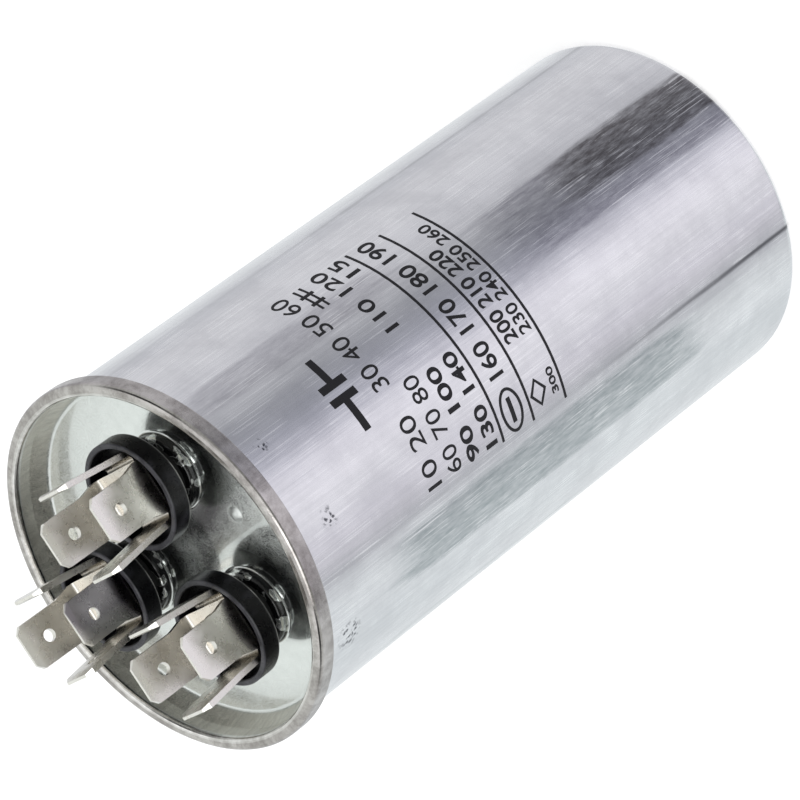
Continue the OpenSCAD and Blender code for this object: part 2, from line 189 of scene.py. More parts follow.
def drawn_aluminium():
    """Deep-drawn aluminium ironed lengthways: satin, fine upright lines, worn patches, hairlines, painted
    reflections.
    """
    material, tree, shader, place = new_material("drawn_aluminium", Metallic=1.0)
    # The can's side unrolled: arc from the front, and height
    axis = add(tree, "ShaderNodeSeparateXYZ", {"Vector": place})
    front = add(tree, "ShaderNodeMath", {0: axis.outputs["Y"], 1: -1.0}, operation="MULTIPLY")
    turn = add(tree, "ShaderNodeMath", {0: axis.outputs["X"], 1: front}, operation="ARCTAN2")
    arc = add(tree, "ShaderNodeMath", {0: turn, 1: CAN_R}, operation="MULTIPLY")
    height = axis.outputs["Z"]
    unrolled = add(tree, "ShaderNodeCombineXYZ", {"X": arc, "Y": height})

    # Drawing lines up the can, about 0.35 mm apart and 17 mm long
    stretched = add(tree, "ShaderNodeMapping", {"Vector": place, "Scale": (1.0, 1.0, 0.02)})
    lines = add(tree, "ShaderNodeTexNoise", {"Vector": stretched, "Scale": 1 / (0.35 * MM), "Detail": 4.0})
    # Broader bands where the punch pressed harder, about 3 mm apart
    wavy = add(tree, "ShaderNodeMapping", {"Vector": place, "Scale": (1.0, 1.0, 0.06)})
    bands = add(tree, "ShaderNodeTexNoise", {"Vector": wavy, "Scale": 1 / (3.0 * MM), "Detail": 3.0})
    # Rubbing streaks, about 1 mm wide and 14 mm long
    rub_and_sheen = add(tree, "ShaderNodeMapping", {"Vector": place, "Scale": (1.0, 1.0, 0.07)})
    streaks = add(tree, "ShaderNodeTexNoise", {
        "Vector": rub_and_sheen, "Scale": 1 / MM, "Detail": 5.0, "Roughness": 0.68})
    # Cloudy handling marks, about 8 mm across
    clouds = add(tree, "ShaderNodeTexNoise", {
        "Vector": place, "Scale": 1 / (8 * MM), "Detail": 6.0, "Roughness": 0.66})
    # Fine mottle of the bare metal, about 0.5 mm wide and 3 mm long
    short = add(tree, "ShaderNodeMapping", {"Vector": place, "Scale": (1.0, 1.0, 0.16)})
    mottle = add(tree, "ShaderNodeTexNoise", {
        "Vector": short, "Scale": 1 / (0.5 * MM), "Detail": 5.0, "Roughness": 0.7})

    # Patches, in mm: down the left of the legend, at the far left, below the legend and its dark core,
    # and a faint one that runs up the right of the legend to the seam. The two below the legend are rubbed
    # haze with a painted reflection of the dark band that the can mirrors there, darkest in its core.
    spot = (arc, height)
    left = wear_and_reflection_patch(tree, spot, streaks, -22.8, -15.4, 22, 84, 9)
    far_left = wear_and_reflection_patch(tree, spot, streaks, -35.0, -32.8, 44, 86, 6)
    below = wear_and_reflection_patch(tree, spot, streaks, 2.6, 12.6, -20, 46, 12)
    below_core = wear_and_reflection_patch(tree, spot, streaks, 5.8, 12.8, -20, 31, 10)
    right = wear_and_reflection_patch(tree, spot, streaks, 11.4, 16.0, 60, 99, 9)

    # Two upright dark lines, both darker towards the foot: a faint score left by the drawing die at the
    # right, and at the left a painted reflection of the thin dark band that the can mirrors there
    sway = add(tree, "ShaderNodeMath", {0: bands, 1: 0.9 * MM, 2: arc}, operation="MULTIPLY_ADD")
    painted_reflection_line = between(tree, sway, -13.7 * MM, -13.2 * MM, 0.24 * MM)
    darker_to_foot = add(tree, "ShaderNodeMapRange", {
        VALUE: height, FROM_A: 44 * MM, FROM_B: 10 * MM, TO_A: 0.07, TO_B: 0.85})
    painted_reflection_line = add(tree, "ShaderNodeMath", {0: painted_reflection_line, 1: darker_to_foot}, operation="MULTIPLY")
    faint = between(tree, sway, 29.1 * MM, 29.8 * MM, 0.5 * MM)
    shallow = add(tree, "ShaderNodeMapRange", {
        VALUE: height, FROM_A: 72 * MM, FROM_B: 50 * MM, TO_A: 0.08, TO_B: 0.34})
    faint = add(tree, "ShaderNodeMath", {0: faint, 1: shallow}, operation="MULTIPLY")
    scores_and_reflection = add(tree, "ShaderNodeMath", {0: painted_reflection_line, 1: faint}, operation="MAXIMUM")

    # Fine slanting hairlines from handling, each about 0.2 mm wide and 15 mm long
    slant = add(tree, "ShaderNodeMapping", {
        "Vector": unrolled, "Rotation": (0.0, 0.0, math.radians(27)),
        "Scale": (1 / (0.2 * MM), 1 / (15 * MM), 1.0)})
    hair = add(tree, "ShaderNodeTexNoise", {
        "Vector": slant, "Scale": 1.0, "Detail": 3.0}, noise_dimensions="2D")
    hairlines = add(tree, "ShaderNodeMapRange", {VALUE: hair, FROM_A: 0.58, FROM_B: 0.68})
    where = add(tree, "ShaderNodeMapRange", {VALUE: clouds, FROM_A: 0.42, FROM_B: 0.55})
    scratches = add(tree, "ShaderNodeMath", {0: hairlines, 1: where}, operation="MULTIPLY")
    specks = speck_clusters(tree, unrolled, clouds)

    tone = add(tree, "ShaderNodeMix", {SHARE: lines, UNDER: "#D9DADC", OVER: "#F3F3F4"}, data_type="RGBA")
    cloudy = add(tree, "ShaderNodeMapRange", {
        VALUE: clouds, FROM_A: 0.62, FROM_B: 0.36, TO_A: 0.0, TO_B: 0.3})
    tone = add(tree, "ShaderNodeMix", {SHARE: cloudy, UNDER: tone, OVER: "#B4B4B8"}, data_type="RGBA")
    mottled = add(tree, "ShaderNodeMapRange", {
        VALUE: mottle, FROM_A: 0.34, FROM_B: 0.66, TO_A: 1.0, TO_B: 0.4})
    # Painted reflection: the patches below the legend darken the colour where the can mirrors a dark band
    for patch, colour, strength in (
            (left, "#A3AAAC", 1.0), (far_left, "#C4C8C9", 0.8), (below, "#A09FA6", 0.9),
            (below_core, "#5C5858", 0.85), (right, "#A3A2A8", 0.6)):
        depth = add(tree, "ShaderNodeMath", {0: patch, 1: mottled}, operation="MULTIPLY")
        depth = add(tree, "ShaderNodeMath", {0: depth, 1: strength}, operation="MULTIPLY")
        tone = add(tree, "ShaderNodeMix", {SHARE: depth, UNDER: tone, OVER: colour}, data_type="RGBA")
    pale = add(tree, "ShaderNodeMath", {0: scratches, 1: 0.7}, operation="MULTIPLY")
    # The upright dark lines hold a painted reflection as well as a faint score
    for mark, colour in ((scores_and_reflection, "#4C4D52"), (pale, "#FFFFFF"), (specks, "#606166")):
        tone = add(tree, "ShaderNodeMix", {SHARE: mark, UNDER: tone, OVER: colour}, data_type="RGBA")
    join(tree, tone, shader, "Base Color")

    gloss = add(tree, "ShaderNodeMath", {0: streaks, 1: 0.16, 2: 0.12}, operation="MULTIPLY_ADD")
    for mark, duller in ((left, 0.10), (scratches, 0.15)):
        gloss = add(tree, "ShaderNodeMath", {0: mark, 1: duller, 2: gloss}, operation="MULTIPLY_ADD")
    join(tree, gloss, shader, "Roughness")

    wave = add(tree, "ShaderNodeBump", {"Strength": 1.0, "Distance": 0.06 * MM, "Height": bands})
    rough = add(tree, "ShaderNodeBump", {
        "Strength": 1.0, "Distance": 0.02 * MM, "Height": streaks, "Normal": wave})
    grain = add(tree, "ShaderNodeBump", {
        "Strength": 0.8, "Distance": 0.008 * MM, "Height": lines, "Normal": rough})
    join(tree, grain, shader, "Normal")
    return material


# ---------------------------------------------------------------- lid

def clear_of_bushings(tree, around):
    """How hazy the plating may get: little close round the bushings, and fully away from them."""
    nearest = None
    for terminal in TERMINALS:
        low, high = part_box("bushing_" + terminal)
        middle = (low + high) / 2
        gap = add(tree, "ShaderNodeVectorMath", {
            0: around, 1: (middle.x, middle.y, 0.0)}, operation="DISTANCE").outputs["Value"]
        nearest = gap if nearest is None else add(
            tree, "ShaderNodeMath", {0: nearest, 1: gap}, operation="MINIMUM")
    return add(tree, "ShaderNodeMapRange", {
        VALUE: nearest, FROM_A: 8 * MM, FROM_B: 12 * MM, TO_A: 0.4, TO_B: 1.15})


def tinplate():
    """Tin-plated steel lid: bright panel with a crystal haze, drawn wall, collars in painted shade, worn
    rim.
    """
    material, tree, shader, place = new_material("tinplate")
    axis = add(tree, "ShaderNodeSeparateXYZ", {"Vector": place})
    height = axis.outputs["Z"]
    around = add(tree, "ShaderNodeCombineXYZ", {"X": axis.outputs["X"], "Y": axis.outputs["Y"]})
    radius = add(tree, "ShaderNodeVectorMath", {0: around}, operation="LENGTH").outputs["Value"]

    # Zones: the wall, the collars, the rim with its skirt outside the can, and the dimple
    raised = between(tree, height, PANEL_Z + 0.3 * MM, ROLL_Z, 0.25 * MM)
    outside = add(tree, "ShaderNodeMath", {0: radius, 1: WALL_R}, operation="GREATER_THAN")
    wall = add(tree, "ShaderNodeMath", {0: raised, 1: outside}, operation="MULTIPLY")
    collars = add(tree, "ShaderNodeMath", {0: raised, 1: wall}, operation="SUBTRACT")
    top = between(tree, height, ROLL_Z, LID_TOP + CLEAR, 0.25 * MM)
    skirt = between(tree, radius, CAN_R - 0.1 * MM, RIM_R + CLEAR, 0.1 * MM)
    rim = add(tree, "ShaderNodeMath", {0: top, 1: skirt}, operation="MAXIMUM")
    from_dimple = add(tree, "ShaderNodeVectorMath", {
        0: around, 1: DIMPLE}, operation="DISTANCE").outputs["Value"]
    dimple = add(tree, "ShaderNodeMapRange", {VALUE: from_dimple, FROM_A: 1.5 * MM, FROM_B: 0.9 * MM})

    # Tin crystals, too fine to tell apart: some bright and some hazy, and a little more haze in soft clouds
    crystals = add(tree, "ShaderNodeTexNoise", {"Vector": place, "Scale": 1 / (0.06 * MM), "Detail": 2.0})
    mottle = add(tree, "ShaderNodeTexNoise", {"Vector": place, "Scale": 1 / (1.6 * MM), "Detail": 5.0})
    spread = add(tree, "ShaderNodeMath", {0: mottle, 1: 0.12, 2: crystals}, operation="MULTIPLY_ADD")
    hazy = add(tree, "ShaderNodeMapRange", {VALUE: spread, FROM_A: 0.48, FROM_B: 0.66})
    share = clear_of_bushings(tree, around)
    share = add(tree, "ShaderNodeMath", {0: rim, 1: -0.9, 2: share}, operation="MULTIPLY_ADD")
    hazy = add(tree, "ShaderNodeMath", {0: hazy, 1: share}, operation="MULTIPLY")
    # The panel isn't quite flat: it waves over about 7 mm
    ripple = add(tree, "ShaderNodeTexNoise", {"Vector": place, "Scale": 1 / (7.0 * MM), "Detail": 2.0})
    # Upright lines of the drawn wall, about 0.6 mm apart
    upright = add(tree, "ShaderNodeMapping", {"Vector": place, "Scale": (1.0, 1.0, 0.05)})
    draw_lines = add(tree, "ShaderNodeTexNoise", {
        "Vector": upright, "Scale": 1 / (0.6 * MM), "Detail": 4.0})
    # Faint lines that the seaming rolls leave round the rim, and its worn spots
    ringed = add(tree, "ShaderNodeCombineXYZ", {"X": radius, "Y": height})
    rolled = add(tree, "ShaderNodeTexNoise", {"Vector": ringed, "Scale": 1 / (0.3 * MM), "Detail": 2.0})
    worn = add(tree, "ShaderNodeTexNoise", {
        "Vector": place, "Scale": 1 / (3 * MM), "Detail": 7.0, "Roughness": 0.72})
    # Dents of the staking tool round the collars. The collars are painted black, as painted shade for the
    # dark under the cups, but for a few bright spots
    dents = add(tree, "ShaderNodeTexVoronoi", {
        "Vector": place, "Scale": 1 / (2.4 * MM)}, feature="SMOOTH_F1")
    blots = add(tree, "ShaderNodeTexNoise", {"Vector": place, "Scale": 1 / (2.2 * MM), "Detail": 2.0})
    shade_kept = add(tree, "ShaderNodeMapRange", {VALUE: blots, FROM_A: 0.6, FROM_B: 0.56})
    off_panel = between(tree, height, PANEL_Z + 0.12 * MM, ROLL_Z, 0.08 * MM)
    off_dimple = add(tree, "ShaderNodeMath", {0: 1.0, 1: dimple}, operation="SUBTRACT")
    painted_shade = between(tree, radius, 0.0, WALL_R, 0.1 * MM)
    for mask in (off_panel, off_dimple, shade_kept):
        painted_shade = add(tree, "ShaderNodeMath", {0: painted_shade, 1: mask}, operation="MULTIPLY")

    tone = add(tree, "ShaderNodeMix", {SHARE: mottle, UNDER: "#DADDDB", OVER: "#EEF1EF"}, data_type="RGBA")
    wall_tone = add(tree, "ShaderNodeMix", {
        SHARE: draw_lines, UNDER: "#B5B2A9", OVER: "#EFEDE4"}, data_type="RGBA")
    patchy = add(tree, "ShaderNodeMapRange", {VALUE: worn, FROM_A: 0.36, FROM_B: 0.62})
    rim_tone = add(tree, "ShaderNodeMix", {
        SHARE: patchy, UNDER: "#C4C1BD", OVER: "#F2F0ED"}, data_type="RGBA")
    skirt_tone = add(tree, "ShaderNodeMix", {
        SHARE: patchy, UNDER: "#96918E", OVER: "#C6C2BF"}, data_type="RGBA")
    lined = add(tree, "ShaderNodeMapRange", {
        VALUE: rolled, FROM_A: 0.58, FROM_B: 0.42, TO_A: 0.0, TO_B: 0.25})
    for zone, colour in ((lined, "#75716D"), (skirt, skirt_tone)):
        rim_tone = add(tree, "ShaderNodeMix", {
            SHARE: zone, UNDER: rim_tone, OVER: colour}, data_type="RGBA")
    # The collars take the black of the painted shade
    for zone, colour in ((wall, wall_tone), (rim, rim_tone), (painted_shade, "#0E0F10")):
        tone = add(tree, "ShaderNodeMix", {SHARE: zone, UNDER: tone, OVER: colour}, data_type="RGBA")
    join(tree, tone, shader, "Base Color")
    # The painted shade on the collars is not metal
    metal_outside_shade = add(tree, "ShaderNodeMath", {0: 1.0, 1: painted_shade}, operation="SUBTRACT")
    join(tree, metal_outside_shade, shader, "Metallic")

    gloss = add(tree, "ShaderNodeMath", {0: hazy, 1: 0.5, 2: 0.06}, operation="MULTIPLY_ADD")
    for zone, duller in ((wall, 0.12), (rim, 0.04), (dimple, 0.25)):
        gloss = add(tree, "ShaderNodeMath", {0: zone, 1: duller, 2: gloss}, operation="MULTIPLY_ADD")
    join(tree, gloss, shader, "Roughness")

    bump = add(tree, "ShaderNodeBump", {"Strength": 1.0, "Distance": 0.02 * MM, "Height": ripple})
    for marks, zone, depth in (
            (draw_lines, wall, 0.03), (dents, collars, 0.15), (rolled, rim, 0.01), (worn, rim, 0.03)):
        relief = add(tree, "ShaderNodeMath", {0: marks, 1: zone}, operation="MULTIPLY")
        bump = add(tree, "ShaderNodeBump", {
            "Strength": 1.0, "Distance": depth * MM, "Height": relief, "Normal": bump})
    join(tree, bump, shader, "Normal")
    return material


# ---------------------------------------------------------------- tabs and bushings

def painted_tab_shade(tree, place):
    """Mask of painted shade on one face: the front of the run terminal's near tab, down to its root,
    darkened for the shadow of the tabs beside it and the dark things it mirrors.
    """
    axis = add(tree, "ShaderNodeSeparateXYZ", {"Vector": place})
    low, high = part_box("upper_tabs_run")
    blade = ((low.x + high.x) / 2, low.y, high.z - 5 * MM)
    away = add(tree, "ShaderNodeVectorMath", {0: place, 1: blade}, operation="DISTANCE").outputs["Value"]
    dark = add(tree, "ShaderNodeMapRange", {VALUE: away, FROM_A: 8.5 * MM, FROM_B: 6.5 * MM, TO_B: 0.85})
    leaning = add(tree, "ShaderNodeMath", {
        0: axis.outputs["Z"], 1: TAB_LEAN, 2: axis.outputs["Y"]}, operation="MULTIPLY_ADD")
    face = low.y + TAB_LEAN * high.z
    front_side = add(tree, "ShaderNodeMapRange", {
        VALUE: leaning, FROM_A: face + 0.6 * MM, FROM_B: face + 0.3 * MM})
    return add(tree, "ShaderNodeMath", {0: dark, 1: front_side}, operation="MULTIPLY")


def tinned_strip():
    """Tin-plated strip for the push-on tabs: satin, with faint rolling lines and haze, and painted shade at
    the roots.
    """
    material, tree, shader, place = new_material("tinned_strip", Metallic=1.0)
    height = add(tree, "ShaderNodeSeparateXYZ", {"Vector": place}).outputs["Z"]
    # Rolling lines up the tabs, about 0.25 mm apart, and haze about 1.4 mm across
    along = add(tree, "ShaderNodeMapping", {"Vector": place, "Scale": (1.0, 1.0, 0.06)})
    lines = add(tree, "ShaderNodeTexNoise", {"Vector": along, "Scale": 1 / (0.25 * MM), "Detail": 3.0})
    haze = add(tree, "ShaderNodeTexNoise", {
        "Vector": place, "Scale": 1 / (1.4 * MM), "Detail": 4.0, "Roughness": 0.6})
    # Painted shade: darker and warmer towards the roots, where the tabs go down into the cups
    root = add(tree, "ShaderNodeMapRange", {
        VALUE: height, FROM_A: LID_TOP + 5 * MM, FROM_B: LID_TOP - 1 * MM, TO_B: 0.5})
    tone = add(tree, "ShaderNodeMix", {SHARE: haze, UNDER: "#DBD7D0", OVER: "#F3F1EC"}, data_type="RGBA")
    # Painted shade on the tabs: towards the roots, and on one face of the run terminal
    for zone, colour in ((root, "#AFA699"), (painted_tab_shade(tree, place), "#857F86")):
        tone = add(tree, "ShaderNodeMix", {SHARE: zone, UNDER: tone, OVER: colour}, data_type="RGBA")
    join(tree, tone, shader, "Base Color")
    gloss = add(tree, "ShaderNodeMath", {0: haze, 1: 0.24, 2: 0.16}, operation="MULTIPLY_ADD")
    join(tree, gloss, shader, "Roughness")
    wave = add(tree, "ShaderNodeBump", {"Strength": 1.0, "Distance": 0.008 * MM, "Height": haze})
    grain = add(tree, "ShaderNodeBump", {
        "Strength": 0.7, "Distance": 0.004 * MM, "Height": lines, "Normal": wave})
    join(tree, grain, shader, "Normal")
    return material


def moulded_phenolic():
    """Black phenolic bushing: hard and softly shiny, dusty in places, with a painted sheen on its lip."""
    material, tree, shader, place = new_material("moulded_phenolic", IOR=1.46, Specular_IOR_Level=0.3)
    height = add(tree, "ShaderNodeSeparateXYZ", {"Vector": place}).outputs["Z"]
    grain = add(tree, "ShaderNodeTexNoise", {"Vector": place, "Scale": 1 / (0.4 * MM), "Detail": 4.0})
    dust_and_sheen = add(tree, "ShaderNodeTexNoise", {"Vector": place, "Scale": 1 / (2.5 * MM), "Detail": 4.0})
    dust = add(tree, "ShaderNodeMapRange", {VALUE: dust_and_sheen, FROM_A: 0.5, FROM_B: 0.72, TO_B: 0.5})
    # Broken pale line at the lower edge of the cup: a painted highlight
    edge_highlight = between(tree, height, CUP_Z - 0.05 * MM, CUP_Z + 0.32 * MM, 0.12 * MM)
    broken = add(tree, "ShaderNodeMapRange", {
        VALUE: dust_and_sheen, FROM_A: 0.44, FROM_B: 0.6, TO_A: 0.15, TO_B: 1.0})
    edge_highlight = add(tree, "ShaderNodeMath", {0: edge_highlight, 1: broken}, operation="MULTIPLY")
    # Painted sheen: the top of the lip is greyer in patches, for what it mirrors
    lip = add(tree, "ShaderNodeMapRange", {
        VALUE: height, FROM_A: LIP_Z - 0.2 * MM, FROM_B: LIP_Z - 0.05 * MM})
    rub_and_sheen = add(tree, "ShaderNodeMapRange", {
        VALUE: dust_and_sheen, FROM_A: 0.35, FROM_B: 0.6, TO_A: 0.35, TO_B: 1.0})
    lip = add(tree, "ShaderNodeMath", {0: lip, 1: rub_and_sheen}, operation="MULTIPLY")
    tone = add(tree, "ShaderNodeMix", {SHARE: grain, UNDER: "#040406", OVER: "#0B0B0E"}, data_type="RGBA")
    for zone, colour in ((dust, "#37373D"), (edge_highlight, "#A8A8A4"), (lip, "#4A4A4F")):
        tone = add(tree, "ShaderNodeMix", {SHARE: zone, UNDER: tone, OVER: colour}, data_type="RGBA")
    join(tree, tone, shader, "Base Color")
    sheen = add(tree, "ShaderNodeMapRange", {VALUE: grain, TO_A: 0.22, TO_B: 0.36})
    join(tree, sheen, shader, "Roughness")
    bump = add(tree, "ShaderNodeBump", {"Strength": 1.0, "Distance": 0.003 * MM, "Height": grain})
    join(tree, bump, shader, "Normal")
    return material


def dress_tabs(name, finish):
    """Copy of a pair of tabs with its edges broken, as the press and the plating leave them."""
    mesh = frame["nodes"][name].data.copy()
    # The copy's own normals would stay as they are when its corners are merged
    mesh.attributes.remove(mesh.attributes["custom_normal"])
    shape = bmesh.new()
    shape.from_mesh(mesh)
    bmesh.ops.remove_doubles(shape, verts=shape.verts, dist=0.001 * MM)
    bmesh.ops.dissolve_limit(shape, angle_limit=math.radians(0.5), verts=shape.verts, edges=shape.edges)
    for face in shape.faces:
        face.smooth = True
    shape.to_mesh(mesh)
    shape.free()
    mesh.set_sharp_from_angle(angle=math.radians(30))
    mesh.materials.clear()
    mesh.materials.append(finish)
    piece = make_piece(name + "_finished", mesh, [name])
    bevel = piece.modifiers.new("broken edges", "BEVEL")
    bevel.width = 0.09 * MM
    bevel.segments = 2
    bevel.limit_method = "ANGLE"
    bevel.angle_limit = math.radians(40)
    bevel.harden_normals = True


# ---------------------------------------------------------------- plain finishes

def grained(name, dark, light, grain, gloss, relief, stretch=(1.0, 1.0, 1.0), **surface):
    """A finish with one grain: grain is its size in mm, gloss its roughness range, relief its depth."""
    material, tree, shader, place = new_material(name, **surface)
    drawn = add(tree, "ShaderNodeMapping", {"Vector": place, "Scale": stretch})
    noise = add(tree, "ShaderNodeTexNoise", {"Vector": drawn, "Scale": 1 / (grain * MM), "Detail": 4.0})
    tone = add(tree, "ShaderNodeMix", {SHARE: noise, UNDER: dark, OVER: light}, data_type="RGBA")
    join(tree, tone, shader, "Base Color")
    sheen = add(tree, "ShaderNodeMapRange", {VALUE: noise, TO_A: gloss[0], TO_B: gloss[1]})
    join(tree, sheen, shader, "Roughness")
    bump = add(tree, "ShaderNodeBump", {"Strength": 1.0, "Distance": relief * MM, "Height": noise})
    join(tree, bump, shader, "Normal")
    return material


def plain_finishes():
    """Slot to finish for the pieces that show little or nothing."""
    return {
        # Bitumen-like compound: dull, lumpy and dark grey
        "sealant": grained("seam_compound", "#4A4945", "#6B6962", 0.6, (0.6, 0.8), 0.02),
        # Nitrile rubber: dull black with fine bloom
        "gasket_rubber": grained(
            "nitrile_rubber", "#0F0F10", "#1D1D1E", 0.3, (0.55, 0.75), 0.004, IOR=1.52),
        # Moulded polypropylene: milky white, waxy
        "insulator_plastic": grained(
            "polypropylene", "#DAD8CF", "#EBE9E2", 0.8, (0.35, 0.5), 0.004, IOR=1.49),
        # Nickel-plated steel rivets and washers: grey with a soft shine
        "rivet_metal": grained(
            "nickel_plate", "#8F8C86", "#B9B6B0", 0.3, (0.25, 0.4), 0.004, Metallic=1.0),
        # Tinned copper wire: grey over warm metal, drawn lengthways
        "lead_metal": grained(
            "tinned_copper", "#A98A6A", "#C9B7A2", 0.2, (0.2, 0.35), 0.002, (1, 1, 0.1), Metallic=1.0),
        # Varnished glass sleeve: straw yellow, softly shiny
        "sleeve_plastic": grained("varnished_sleeve", "#C4B36C", "#D9CB8C", 0.3, (0.35, 0.5), 0.01),
        # Extruded core tube: tan, satin
        "core_plastic": grained("core_tube", "#B39C6E", "#CDB888", 0.5, (0.4, 0.55), 0.003),
        # Metallised film: zinc-grey mirror with faint winding lines
        "film": grained(
            "metallised_film", "#A7A9AD", "#CBCDD1", 0.12, (0.15, 0.3), 0.003, (1, 1, 0.02), Metallic=1.0),
        # Clear wrap over the film: warm, shiny
        "wrap_film": grained("wrap_film", "#CDBE98", "#E0D5B8", 2.0, (0.1, 0.2), 0.01, IOR=1.6),
        # Flame-sprayed zinc: grey and grainy
        "spray_metal": grained(
            "sprayed_zinc", "#6F7276", "#9EA1A5", 0.25, (0.55, 0.8), 0.04, Metallic=1.0),
    }


# ---------------------------------------------------------------- printed legend

# Thickness of the ink, and the hair's breadth that keeps its underside off the can's facets
INK_T = 0.02 * MM
INK_LIFT = 0.006 * MM

# Figures of the legend, in mm: text, left, right, foot, top and how much the strokes are thickened
FIGURES = [
    ("10 20", -12.7, -2.8, 73.6, 76.2, 0.0),
    ("30 40 50 60", 1.5, 20.3, 73.5, 76.2, 0.0),
    ("60 70 80", -12.7, 0.9, 69.6, 72.1, 0.0),
    ("90 100", -13.0, 0.2, 66.1, 68.3, 0.02),
    ("110 120", 6.8, 20.3, 66.2, 68.6, 0.01),
    ("130 140", -13.0, 0.5, 62.6, 64.8, 0.02),
    ("15", 16.3, 20.1, 62.7, 65.1, 0.01),
    ("160 170 180 190", -5.9, 19.8, 57.3, 60.0, 0.015),
    ("200 210 220", -3.5, 12.2, 52.4, 54.7, 0.02),
    ("230 240 250 260", -3.6, 16.4, 49.8, 51.8, 0.015),
    ("300", -12.4, -8.8, 49.8, 51.0, 0.02),
]

# Ruled lines of the legend: left, right and height in mm, and half their thickness
RULES = [(-13.5, 19.9, 61.6), (-13.7, 19.4, 55.5), (-13.9, 19.2, 49.0)]
HALF_RULE = 0.2

# The print sits a little askew round its middle: its right side drops by this much for each unit of width
ASKEW = 0.0155
LEGEND_MIDDLE = 3.2 * MM

# A bar is cut into lengths of about so many mm, and a ring into so many steps, to follow the can
BAR_LENGTH = 0.8
RING_STEPS = 48


def figures_mesh(text, left, right, foot, top, bold):
    """Flat figures as a thin closed mesh that fills its box, with X along the arc and Y up the can."""
    curve = bpy.data.curves.new("figures", "FONT")
    curve.body = text
    curve.fill_mode = "BOTH"
    curve.extrude = 0.5
    curve.offset = bold
    carrier = bpy.data.objects.new("figures", curve)
    bpy.context.scene.collection.objects.link(carrier)
    mesh = bpy.data.meshes.new_from_object(carrier.evaluated_get(bpy.context.evaluated_depsgraph_get()))
    bpy.data.objects.remove(carrier)
    bpy.data.curves.remove(curve)
    low = Vector(map(min, *(v.co for v in mesh.vertices)))
    high = Vector(map(max, *(v.co for v in mesh.vertices)))
    for vertex in mesh.vertices:
        across, up, out = ((vertex.co[i] - low[i]) / (high[i] - low[i]) for i in range(3))
        vertex.co = ((left + across * (right - left)) * MM, (foot + up * (top - foot)) * MM, out * INK_T)
    return mesh


def bar(shape, left, right, foot, top):
    """A thin bar of ink, in mm, cut into short lengths so that it can follow the can."""
    pieces = max(1, round((right - left) / BAR_LENGTH))
    columns = []
    for i in range(pieces + 1):
        x = (left + (right - left) * i / pieces) * MM
        columns.append([
            shape.verts.new((x, y * MM, z))
            for y, z in ((foot, 0), (foot, INK_T), (top, INK_T), (top, 0))])
    for first, second in zip(columns, columns[1:]):
        for i in range(4):
            shape.faces.new((first[i], second[i], second[i - 3], first[i - 3]))
    shape.faces.new(columns[0])
    shape.faces.new(reversed(columns[-1]))


def outline(shape, middle, level, wide, tall, stroke, power):
    """A closed ring of ink, in mm: power 2 gives an oval and power 1 a diamond."""
    rings = []
    for i in range(RING_STEPS):
        across, up = math.cos(math.tau * i / RING_STEPS), math.sin(math.tau * i / RING_STEPS)
        reach = (abs(across) ** power + abs(up) ** power) ** (-1 / power)
        ends = [(wide / 2 - inset, tall / 2 - inset) for inset in (0.0, stroke)]
        edge = [(middle + a * reach * across, level + b * reach * up) for a, b in ends]
        rings.append([
            shape.verts.new((edge[j][0] * MM, edge[j][1] * MM, z))
            for j, z in ((0, 0.0), (0, INK_T), (1, INK_T), (1, 0.0))])
    for i in range(RING_STEPS):
        first, second = rings[i], rings[(i + 1) % RING_STEPS]
        for j in range(4):
            shape.faces.new((first[j], second[j], second[j - 3], first[j - 3]))


def signs(shape):
    """Rules, the two-plate symbol, a lattice mark, an oval with a bar in it and a diamond, in mm."""
    for left, right, height in RULES:
        bar(shape, left, right, height - HALF_RULE, height + HALF_RULE)
    # Two plates with a lead on each side
    bar(shape, -1.4, 3.0, 79.9, 81.0)
    bar(shape, 3.0, 4.1, 78.2, 82.7)
    bar(shape, 5.1, 6.2, 78.2, 82.7)
    bar(shape, 6.2, 10.0, 79.9, 81.0)
    # Lattice
    for height in (70.7, 71.8):
        bar(shape, 14.8, 19.9, height - 0.18, height + 0.18)
    for left in (15.9, 17.8):
        bar(shape, left, left + 0.5, 70.1, 72.4)
    # Oval with a bar inside
    outline(shape, -10.5, 58.65, 6.0, 3.9, 0.42, 2.0)
    bar(shape, -12.2, -8.8, 58.3, 59.0)
    # Diamond
    outline(shape, -10.8, 53.4, 3.9, 3.2, 0.5, 1.0)


